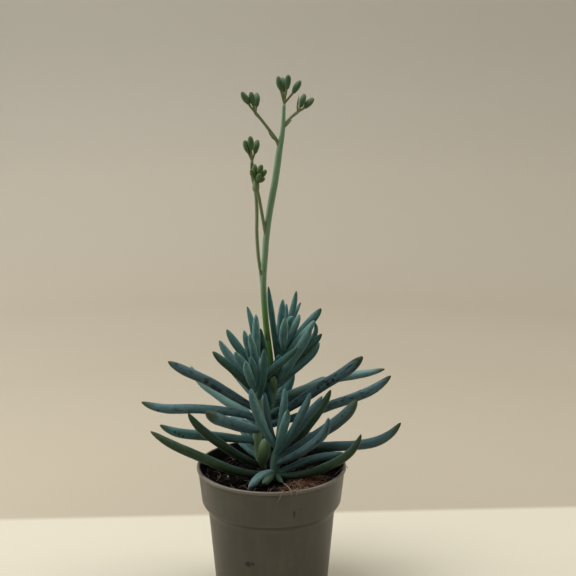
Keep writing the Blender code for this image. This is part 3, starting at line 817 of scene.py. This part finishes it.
def grow_leaf(route, leaf, number):
    """One leaf from its row: a bent finger with a shallow groove along its upper side."""
    up, heading, reach, rise, sag, curl, swing, width, shade, tip, scuffs = leaf
    slope = degrees(atan2(rise, reach))
    length = hypot(reach, rise)
    root = point_up(route, up)
    end = root + length * direction(heading, slope)
    pull = length / 3
    first = root + pull * direction(heading + swing, slope - sag)
    second = end - pull * direction(heading - swing, slope + curl)
    over = (0, 0, 1) - direction(heading, slope) * sin(radians(slope))
    t = LEAF_SHARES[:, None]
    belly = LEAF_BELLY * reach * np.sin(pi * np.maximum(0, 2 * t - 1) ** BELLY_POWER)
    spine = (root * (1 - t) ** 3 + first * 3 * t * (1 - t) ** 2 + second * 3 * t * t * (1 - t)
             + end * t ** 3 - belly * unit(over))
    radii = [0.5 * width * leaf_width(share, width, scuffs) for share in LEAF_SHARES]
    marks = (shade, tip, scuffs, number + 1, 0)
    return skin(spine, radii, (0, 0, 1), marks, LEAF_SIDES, groove=LEAF_GROOVE,
                wobble=LEAF_WOBBLE)


def grow_stem(route, tint, number):
    """A stem along its route, pale green to a darker blue teal by its tint, partly its own hue and
    partly painted shade, and a little knobbly.
    """
    line = np.array(smooth_line(route, 8)) + (0, 0, POT_HEIGHT, 0)
    radii = [row[3] * (1 + 0.05 * sin(1.9 * row[2])) for row in line]
    return skin(line[:, :3], radii, (0, -1, 0), (tint, 0, 0, number, 1), STEM_SIDES,
                wobble=STEM_WOBBLE)


def leafy_piece(name, node, groups, sores, tint, first):
    """Stems with their leaves in one piece, riding on the body and standing for its CAD node."""
    pieces = [grow_stem(route, tint, first + STEM_NUMBERS + count)
              for count, (route, _) in enumerate(groups)]
    for route, leaves in groups:
        for leaf in leaves:
            pieces.append(grow_leaf(route, leaf, first))
            first += 1
    piece = gather(name, pieces, leaf_finish(name + "_finish", sores))
    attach(piece, "root")
    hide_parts(node)


leafy_piece("left_leaves", "left_leafy_stem", [(LEFT_STEM, LEFT_LEAVES)],
            LEFT_SORES, tint=0, first=0)


# The middle stem and its leaves: the oldest stem, which forks. Its right branch ends in a
# leafy crown, its own end carries the flower stalk, and long leaves arch out to the right.

MIDDLE_STEM = [(-4, 20, -10, 3.4), (-4, 20, -5, 3.4), (-4, 20, 11, 3.4), (-3, 20, 22, 3.4),
               (-1.5, 20, 34, 3.4), (1, 20, 50, 3.2), (-1, 18, 62, 2.8), (-1, 18, 67, 2.6)]
CROWN_BRANCH = [(1, 20, 48, 2.4), (4, 21, 60, 2.7), (8, 22, 72, 2.6), (9, 22, 80, 1.8)]
MIDDLE_LEAVES = [
    (26, 347, 67.7, 51, 6, 1, 4, 8, 0.6, 1, 1), (34, 21, 43, 19, 6, -4, -4, 7, 0.5, 0.4, 0.5),
    (41, 6, 82, 20, 1, -12, 6, 6.4, 0.05, 0.9, 0.35),
    (21.5, 357, 87.5, 38.5, 8, 12, 4, 7.2, 0.4, 0.8, 0.8),
    (9.5, 354, 96, 17.5, 14, 38, -4, 7.4, 0.76, 0.9, 0.5),
    (44, 243, 16.4, 53, 16, 0, 0, 5.6, 0.68, 0.4, 0),
    (50, 322, 33.5, 50, 4, 2, 4, 7, 0.22, 0.3, 0.35), (56, 293, 14, 22, 8, 4, 0, 5.8, 0.5, 0.3, 0),
    (22, 38, 24, 35, 20, 8, 6, 6.2, 0.62, 0.3, 0), (30, 303, 14.5, 9, 6, 10, 0, 5, 0.55, 0.2, 0),
    (23, 319, 13.5, 6, 6, 10, 0, 4.8, 0.55, 0.2, 0), (6, 48, 52, 4, 3, 8, 8, 6.8, 0.5, 0.7, 0.3),
    (14, 98, 54, 20, 6, 14, -6, 6.6, 0.3, 0.5, 0.2), (24, 78, 56, 36, 4, 12, 8, 6.4, 0.35, 0.6, 0),
    (30, 118, 48, 34, 4, 10, -4, 6.4, 0.25, 0.5, 0.3),
    (34, 62, 50, 34, 4, 12, 6, 6.4, 0.4, 0.6, 0.1), (44, 104, 40, 34, 4, 8, 6, 6, 0.3, 0.4, 0),
    (48, 34, 33, 26, 4, 8, -6, 6.2, 0.4, 0.4, 0.2), (56, 124, 24, 36, 4, 6, 0, 5.6, 0.35, 0.4, 0),
    (4, 120, 40, 6, 6, 16, 8, 6.4, 0.6, 0.6, 0.2), (2, 108, 46, 12, 4, 14, 0, 6.4, 0.65, 0.5, 0.2),
    (7, 24, 44, 4, 3, 8, 6, 6.2, 0.6, 0.5, 0.1), (46, 278, 10, 15, 4, 6, 0, 5.4, 1.12, 0.2, 0),
    (36, 246, 6.5, 22.5, 14, 10, 0, 7, 0.45, 0.2, 0),
]
CROWN_LEAVES = [
    (62, 242, 14, 64, -2, 0, 0, 4.4, 0.45, 0.4, 0.1), (66, 63, 4.5, 47, -8, -6, 0, 6, 0.28, 0.3, 0),
    (76, 80, 12, 32, 0, 6, 0, 3.8, 0.5, 0.4, 0), (79, 44, 12, 39, 0, 4, 4, 4.6, 0.62, 0.7, 0),
    (76, 52, 20, 32, -14, -30, -6, 3.6, 0.72, 0.7, 0.1),
    (77, 1, 11, 26, 4, 0, 0, 5.6, 0.12, 0.2, 0), (73, 353, 27, 35, 3, -8, 4, 6.6, 0.5, 0.9, 0.2),
    (69, 337, 25, 32, 4, 0, -4, 6.2, 0.08, 0.2, 0),
    (66, 302, 16.5, 39, -22, -30, 0, 6.4, 0.24, 0.1, 0),
    (76, 273, 23.5, 30, 4, 0, -6, 6, 0.08, 0.3, 0),
    (62, 346, 31.5, 29, 4, 0, 4, 6.2, 0.74, 0.7, 0.1),
    (64, 18, 26, 32, 25, 66, 6, 4.2, 0.68, 0.6, 0), (54, 0, 31, 29, 14, 9, 0, 7.6, 0.42, 0.2, 0.1),
    (66, 70, 26, 34, 4, 8, 6, 5.8, 0.55, 0.4, 0), (72, 122, 16, 26, 2, 4, 0, 5.4, 0.35, 0.4, 0),
]
MIDDLE_SORES = [(39.6, 7.8, 151, 2.2), (43.1, 6.8, 154.2, 1.9), (32.7, 9.4, 147.6, 1.8),
                (26, 28.6, 144.6, 2), (74.7, 14.7, 143, 1.7), (78.8, 14.2, 146, 1.5),
                (68.5, 16.5, 138, 1.5), (62.8, 16, 136.6, 1.2)]
leafy_piece("middle_leaves", "flowering_leafy_stem",
            [(MIDDLE_STEM, MIDDLE_LEAVES), (CROWN_BRANCH, CROWN_LEAVES)], MIDDLE_SORES,
            tint=0.4, first=100)


# The front stem and its leaves: a short stem in front of the others. Its leaves fan to both
# sides just above the soil, one of them droops on the soil, and one rests over the rim.

FRONT_STEM = [(2, -8, -10, 3.4), (2, -8, -5, 3.4), (3, -8, 8, 3), (4, -8, 16, 1.8)]
FRONT_LEAVES = [
    (-4, 186, 85, 34, 24, -4, 20, 7, 1.03, 0.5, 0),
    (15, 218, 22, 47, 18, 12, 4, 6.6, 0.24, 0.1, 0.35),
    (16, 205, 9, 40, 14, 8, 0, 4.8, 0.6, 0.1, 0.5), (13, 327, 7, 46, 4, 6, 0, 5.8, 0.26, 0.2, 0.25),
    (11, 293, 21, 38, 6, 2, 0, 6.2, 0.22, 0.5, 0.15),
    (8, 342, 25, 49, 10, 4, -6, 6, 0.52, 0.2, 0.45),
    (9, 7, 32.5, 42, 4, -6, 4, 5.4, 0.46, 0.2, 0.55), (4, 22, 42, 48, 14, 8, 0, 6.6, 1.04, 0.4, 0),
    (5, 356, 56, 46, 5, 13, -6, 8.8, 0.88, 1, 0.5),
    (3, 323, 45, 43, 13, 32, 6, 6.4, 0.64, 0.2, 0.6),
    (-5, 353, 48, 18.5, -6, -18, 0, 5.4, 0.6, 0.2, 0.4),
    (-5, 346, 61, 35, 29, 36, -16, 6.4, 1.04, 0.7, 0.1),
    (-3, 232, 28, -3, -25, -35, 4, 5.8, 0.25, 0.1, 0.45),
    (-3, 252, 24, 1, 4, 6, 0, 5.4, 1.08, 0.2, 0), (-3, 292, 15, -2, 4, 4, 0, 3.6, 1, 0.2, 0),
]
FRONT_SORES = [(48.5, -15.9, 135.7, 1), (50.5, -15.5, 138, 0.7)]
# Its stem gets a high tint: a darker teal that is partly painted shade.
leafy_piece("front_leaves", "front_leafy_stem", [(FRONT_STEM, FRONT_LEAVES)],
            FRONT_SORES, tint=0.85, first=200)


# The flower spray: a smooth green stalk that grows from the middle stem, with side shoots that
# end in clusters of closed, ribbed buds, and small pointed bracts where the shoots leave it.

STALK = [(-1, 18, 64, 2.3), (-1, 18, 72, 2.2), (-4, 18, 98, 2.1), (-5.5, 16, 125, 2.1),
         (-4.5, 15, 143, 2.1), (-3, 14, 162, 2.2), (-0.5, 14, 180, 2.3), (3, 14, 199, 2.3),
         (6, 14, 220, 2.1), (8, 14, 232, 1.6), (9, 14, 250, 1.1)]
LEFT_SHOOT = [(-3, 17, 86, 1.4), (-7, 19, 130, 1.2), (-9, 20, 145, 1.2), (-10, 21, 161, 1.2),
              (-10, 22, 179, 1.2), (-11, 22, 191, 1.1), (-13, 22, 201, 1.1), (-13, 22, 211, 1.1)]
LOW_SHOOT = [(-3, 14, 157, 1.3), (-6, 11, 175, 1.1), (-8, 9, 187, 1.1), (-9, 8, 191, 1.3),
             (-10, 7, 193.5, 2.4), (-10, 7, 197, 2.2), (-10, 8, 199, 1.2)]
LEFT_FORK = [(6, 14, 221, 1.3), (3, 13, 227, 1.2), (-5, 10, 238, 1), (-10, 8, 244, 1.2)]
RIGHT_FORK = [(8, 14, 234, 1.2), (13, 17, 240, 1), (18, 20, 244, 1.1)]
# Buds at the end of each shoot: (across, back, up) from the shoot's end to the bud's tip.
TOP_BUDS = [(-4, -2, 18), (-1, 4, 17), (3, -4, 19), (11, 2, 15)]
LEFT_BUDS = [(-9, -4, 14), (-3, -2, 14), (1, 6, 13)]
RIGHT_BUDS = [(5, 4, 12), (11, 6, 9)]
MIDDLE_BUDS = [(-5, -2, 14), (-1, -4, 17), (4, 3, 14)]
LOW_BUDS = [(-1, 1, 11), (4, -3, 11), (7, 1, 7), (-3, -5, 8), (3, -7, 5), (1, 6, 8), (6, -4, 2)]
LOW_BUD_SIZE = 0.78
BUD_LENGTH = 9.4
BUD_RADIUS = 2.1
BUD_UPRIGHT = 0.1
BUD_SHAPE = [(0, 0.42), (0.06, 0.52), (0.16, 0.7), (0.3, 0.9), (0.45, 1), (0.6, 0.98),
             (0.74, 0.88), (0.85, 0.72), (0.93, 0.54), (0.98, 0.36), (1, 0.14)]
BUD_SIDES = 24
BUD_RIBS = 8
BUD_RIB_DEPTH = 0.07
PEDICEL_RADIUS = 0.75
PEDICEL_FLARE = 0.2
PEDICEL_SUNK = 0.8
PEDICEL_SIDES = 12
# The three small scales at a bud's foot: how each is turned round it, and their radii.
SCALE_TURNS = (0.6, 2.9, 4.8)
SCALE_RADII = [0.35, 0.42, 0.45, 0.42, 0.34, 0.24, 0.1]
# Bracts: where each starts and its tip, with up from the rim, and its radius.
BRACTS = [((-4.5, 16, 129), (-9, 12, 141), 0.9), ((4, 13, 225), (-2, 9, 233), 1),
          ((9.5, 14, 234.5), (14.5, 13, 239.5), 0.8), ((18, 20, 243), (19, 16, 256), 0.6)]
BRACT_STEPS = 6
SPRAY_NUMBERS = 300
# A dark spot painted under the middle cluster: its centre, and how far its edge and its core reach.
DARK_SPOT_PLACE = (-13, 22, 300)
DARK_SPOT_SIZE = (5.5, 3.5)
# Heights between which the stalk turns from grey green to fresh green.
STALK_TURNS = (224, 192)
# What a skin of the spray is: this number is in its look, and picks its colours.
IS_STALK, IS_SHOOT, IS_BRACT, IS_PEDICEL, IS_SCALE, IS_BUD = 0, 0.4, 0.45, 0.5, 0.82, 1

STALK_GREY = (0.132, 0.235, 0.132, 1)
STALK_LIME = (0.085, 0.21, 0.032, 1)
SHOOT_OLIVE = (0.125, 0.155, 0.055, 1)
BUD_GREEN = (0.048, 0.118, 0.05, 1)
BUD_LIME = (0.06, 0.14, 0.018, 1)
# Dark green for the stalk's streaks, also painted shade in the buds' furrows and the dark spot
# under the middle cluster.
BUD_DARK_AND_SHADE = (0.02, 0.035, 0.018, 1)
BUD_TIP = (0.062, 0.052, 0.02, 1)


def spray_finish():
    """Stalk and bud skin: grey green, fresh green low down, olive shoots and ribbed buds, with
    painted shade in the buds' furrows and a dark spot under the middle cluster.
    """
    material, start, feed = new_finish("flower_spray_finish", Specular_IOR_Level=0.35,
                                       Sheen_Weight=0.05, Sheen_Roughness=0.5)
    place = start.named("place")
    share = start.named("share", 2)
    look = start.named("look")
    kind, lime = look.part(0), look.part(1)
    here = start.here()
    streaks = place.stretched(0.12, 1.3, 1.3).cloud(1, 4, 0.6)
    fine = place.cloud(2.6, 3, 0.6)
    color = (here.part(2) / MM).rise(*STALK_TURNS).between(STALK_GREY, STALK_LIME)
    color = color.mix(kind.rise(0.2, 0.5), SHOOT_OLIVE)
    is_bud = kind.rise(0.6, 0.9)
    color = color.mix(is_bud, lime.between(BUD_GREEN, BUD_LIME))
    # Painted shade: the furrows between the buds' ribs are darkened, and the stalk has dark
    # streaks.
    furrow = start.named("furrow", 2) * (0.2 + 0.8 * is_bud)
    color = color.mix(streaks.rise(0.5, 0.75) * 0.35 + furrow * 0.6, BUD_DARK_AND_SHADE)
    color = color.mix(share.rise(0.72, 0.98) * is_bud * 0.5, BUD_TIP)
    # A dark spot painted under the middle cluster.
    from_dark_spot = here.away_from([length * MM for length in DARK_SPOT_PLACE]) / MM
    color = color.mix(from_dark_spot.rise(*DARK_SPOT_SIZE) * 0.85, BUD_DARK_AND_SHADE)
    feed(color, 0.45 + 0.15 * fine, streaks * 0.5 + fine * 0.3 - furrow * 0.4, 0.12)
    return material


def spray_skin(line, radii, marks, sides, **form):
    """A skin of the spray, which also says how deep each point lies between its ribs."""
    ribs, depth = form.get("ribs", 0), form.get("rib_depth", 0)
    points, faces, values = skin(line, radii, (0.1, -1, 0.1), marks, sides, **form)
    angles = np.arange(sides) * 2 * pi / sides
    furrow = (0.5 - 0.5 * np.cos(ribs * angles)) * (1 if depth else 0)
    values["furrow"] = np.concatenate([np.tile(furrow, len(line)), [0, 0]])
    return points, faces, values


def grow_shoot(route, kind, number, sides=16):
    """A stalk or side shoot along its route."""
    line = np.array(smooth_line(route, 7)) + (0, 0, POT_HEIGHT, 0)
    return spray_skin(line[:, :3], line[:, 3], (kind, 0, 0, number, 0), sides, wobble=0.05,
                      ribs=6, rib_depth=0.02)


def grow_bud(knob, reach, size, lime, number):
    """A closed ribbed bud on its own short stalk, with three small scales at its foot."""
    along = unit(reach)
    tip = knob + reach
    upright = unit(along + (0, 0, BUD_UPRIGHT))
    foot = tip - upright * BUD_LENGTH * size
    line = [foot + (tip - foot) * share for share, _ in BUD_SHAPE]
    radii = [BUD_RADIUS * size ** 0.5 * wide for _, wide in BUD_SHAPE]
    bud = spray_skin(line, radii, (IS_BUD, lime, 0, number, 0), BUD_SIDES, ribs=BUD_RIBS,
                     rib_depth=BUD_RIB_DEPTH)
    bend = foot - upright * 1.5
    root = knob - along * PEDICEL_SUNK
    line = smooth_line([root, (knob + bend) / 2, bend, foot + upright * 0.6], 4)
    radii = [PEDICEL_RADIUS + PEDICEL_FLARE * (i / len(line)) ** 4 for i in range(len(line))]
    pedicel = spray_skin(line, radii, (IS_PEDICEL, lime, 0, number + 0.3, 0), PEDICEL_SIDES)
    scales = []
    for turn in SCALE_TURNS:
        side = size ** 0.5 * unit(np.cross(upright, (*around(1, turn), 0.2)))
        start = foot + side * 0.5 - upright * 0.4
        middle = foot + side * 1.25 + upright * 0.9
        end = foot + side * 1.85 + upright * 2.6
        marks = (IS_SCALE, lime, 0, number + turn, 0)
        scales.append(spray_skin(smooth_line([start, middle, end], 3), SCALE_RADII, marks, 8,
                                 flat=0.5))
    return [bud, pedicel] + scales


def grow_bract(start, tip, radius, number):
    """A small pointed bract where a shoot leaves the stalk."""
    start, tip = from_ground(start), from_ground(tip)
    middle = (start + tip) / 2 + (-0.4, -0.3, 0)
    line = smooth_line([start, middle, tip], BRACT_STEPS)
    last = len(line) - 1
    radii = [radius * (0.7 + 0.45 * sin(pi * i / last)) * (1 - (i / (last + 0.3)) ** 3)
             for i in range(last + 1)]
    return spray_skin(line, radii, (IS_BRACT, 0, 0, number, 0), 12, flat=0.6)


def make_spray():
    """The stalk, its side shoots, the buds at each end, and the bracts, in one piece."""
    pieces = [grow_shoot(STALK, IS_STALK, SPRAY_NUMBERS + 1)]
    # Each route with its buds, their size, and how lime green they are.
    shoots = [(STALK, TOP_BUDS, 1, 0.1), (LEFT_SHOOT, MIDDLE_BUDS, 1, 0.7),
              (LOW_SHOOT, LOW_BUDS, LOW_BUD_SIZE, 0.9), (LEFT_FORK, LEFT_BUDS, 1, 0.2),
              (RIGHT_FORK, RIGHT_BUDS, 1, 0.1)]
    for number, (route, buds, size, lime) in enumerate(shoots):
        if number:
            pieces.append(grow_shoot(route, IS_SHOOT, SPRAY_NUMBERS + 10 + number, 12))
        knob = from_ground(route[-1][:3])
        for count, reach in enumerate(buds):
            own = SPRAY_NUMBERS + 20 + 10 * number + count
            pieces += grow_bud(knob, reach, size, lime, own)
    for number, bract in enumerate(BRACTS):
        pieces.append(grow_bract(*bract, SPRAY_NUMBERS + 90 + number))
    return gather("flower_stalk_and_buds", pieces, spray_finish())


spray = make_spray()
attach(spray, "root")
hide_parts("flower_spray")


# The picture: the plant stands on a plain surface, paler near the pot, that curves up all round
# it, in soft light from large lamps above and at both sides. It is seen from a little above.

STAGE_FLAT = 950
STAGE_TURN = 450
STAGE_HEIGHT = 1500
STAGE_CORNER_STEPS = 16
STAGE_STEPS = 96
STAGE_REACH = 1500
# The surface's tones, by distance from the pot as a share of that reach: a pale surface, whose
# rises and falls in tone with distance are painted light and shade.
STAGE_TONES = [(0.1, (0.388, 0.344, 0.268, 1)), (0.2, (0.41, 0.364, 0.285, 1)),
               (0.4, (0.42, 0.375, 0.295, 1)), (0.67, (0.505, 0.457, 0.372, 1)),
               (0.87, (0.52, 0.481, 0.41, 1)), (0.97, (0.47, 0.45, 0.4, 1))]
STAGE_NEAR = (0.54, 0.508, 0.412, 1)
# Painted shade that makes the surface dimmer towards the right, and the span across which it comes
# in.
STAGE_PAINTED_SHADE = (0.3, 0.27, 0.21, 1)
PAINTED_SHADE_ACROSS = (-500, 900)
# How far behind the pot's axis the paler near part ends, how much farther for each step to the
# right, how soft that edge is, and between which shares of the reach the part fades away.
NEAR_EDGE = 131
NEAR_SLANT = 0.054
NEAR_SOFT = 5
NEAR_FADE = (0.42, 0.2)
WORLD_COLOR = (1, 0.99, 0.97, 1)
WORLD_STRENGTH = 0.27
# Lamps, all aimed at one point: place and size in metres, power and colour.
LAMPS = [
    ((-0.5, -0.05, 1.4), 0.8, 17.6, (1, 0.99, 0.97)),
    ((0.75, 0.25, 1.15), 0.7, 9.8, (1, 0.99, 0.96)),
    ((-1, 0.2, 0.45), 0.6, 3.9, (0.98, 0.99, 1)),
]
LAMP_AIM = (0, 0, 0.17)
# The camera: its lens and sensor, its place in metres, and how many degrees down it looks.
LENS = 68.75
SENSOR = 36
CAMERA_PLACE = (0.0116, -0.732, 0.3786)
CAMERA_DOWN = 12.1


def stage_finish():
    """Matt and plain, with painted light and shade: its tones rise and fall softly with distance,
    and painted shade makes it dimmer to the right.
    """
    material, start, feed = new_finish("stage_finish", Roughness=0.85, Specular_IOR_Level=0.1)
    here = start.here()
    across, back = here.part(0) / MM, here.part(1) / MM
    away = here.away_from((0, 0, 0)) / (STAGE_REACH * MM)
    # Painted light and shade: the tone changes with distance.
    color = away.node("ShaderNodeValToRGB", {"stops": STAGE_TONES}, {0: away})
    # Painted shade: dimmer towards the right.
    color = color.mix(across.rise(*PAINTED_SHADE_ACROSS) * 0.45, STAGE_PAINTED_SHADE)
    beyond = back - across * NEAR_SLANT - NEAR_EDGE
    near = beyond.rise(NEAR_SOFT, -NEAR_SOFT) * away.rise(*NEAR_FADE)
    feed(color.mix(near, STAGE_NEAR))
    return material


def make_stage():
    """A flat round floor whose edge turns up into a wall."""
    line = [(0, 0), (STAGE_FLAT, 0)]
    for step in range(1, STAGE_CORNER_STEPS + 1):
        angle = pi / 2 * step / STAGE_CORNER_STEPS
        line.append((STAGE_FLAT + STAGE_TURN * sin(angle), STAGE_TURN * (1 - cos(angle))))
    line.append((STAGE_FLAT + STAGE_TURN, STAGE_HEIGHT))
    return finish_piece(spun("stage", line, STAGE_STEPS, closed=False), stage_finish())


make_stage()

world = bpy.data.worlds.new("studio")
world.use_nodes = True
background = world.node_tree.nodes["Background"]
background.inputs["Color"].default_value = WORLD_COLOR
background.inputs["Strength"].default_value = WORLD_STRENGTH
bpy.context.scene.world = world

for number, (place, size, power, color) in enumerate(LAMPS):
    lamp = bpy.data.lights.new(f"lamp_{number}", "AREA")
    lamp.size = size
    lamp.energy = power
    lamp.color = color
    lamp_object = add_object(f"lamp_{number}", lamp)
    lamp_object.location = place
    aim = Vector(LAMP_AIM) - Vector(place)
    lamp_object.rotation_euler = aim.to_track_quat("-Z", "Y").to_euler()
    lamp_object.visible_camera = False

camera = bpy.data.cameras.new("camera")
camera.lens = LENS
camera.sensor_width = SENSOR
camera.clip_start = 0.01
camera_object = add_object("camera", camera)
camera_object.location = CAMERA_PLACE
camera_object.rotation_euler = (radians(90 - CAMERA_DOWN), 0, 0)
bpy.context.scene.camera = camera_object
bpy.context.scene.view_settings.view_transform = "Standard"
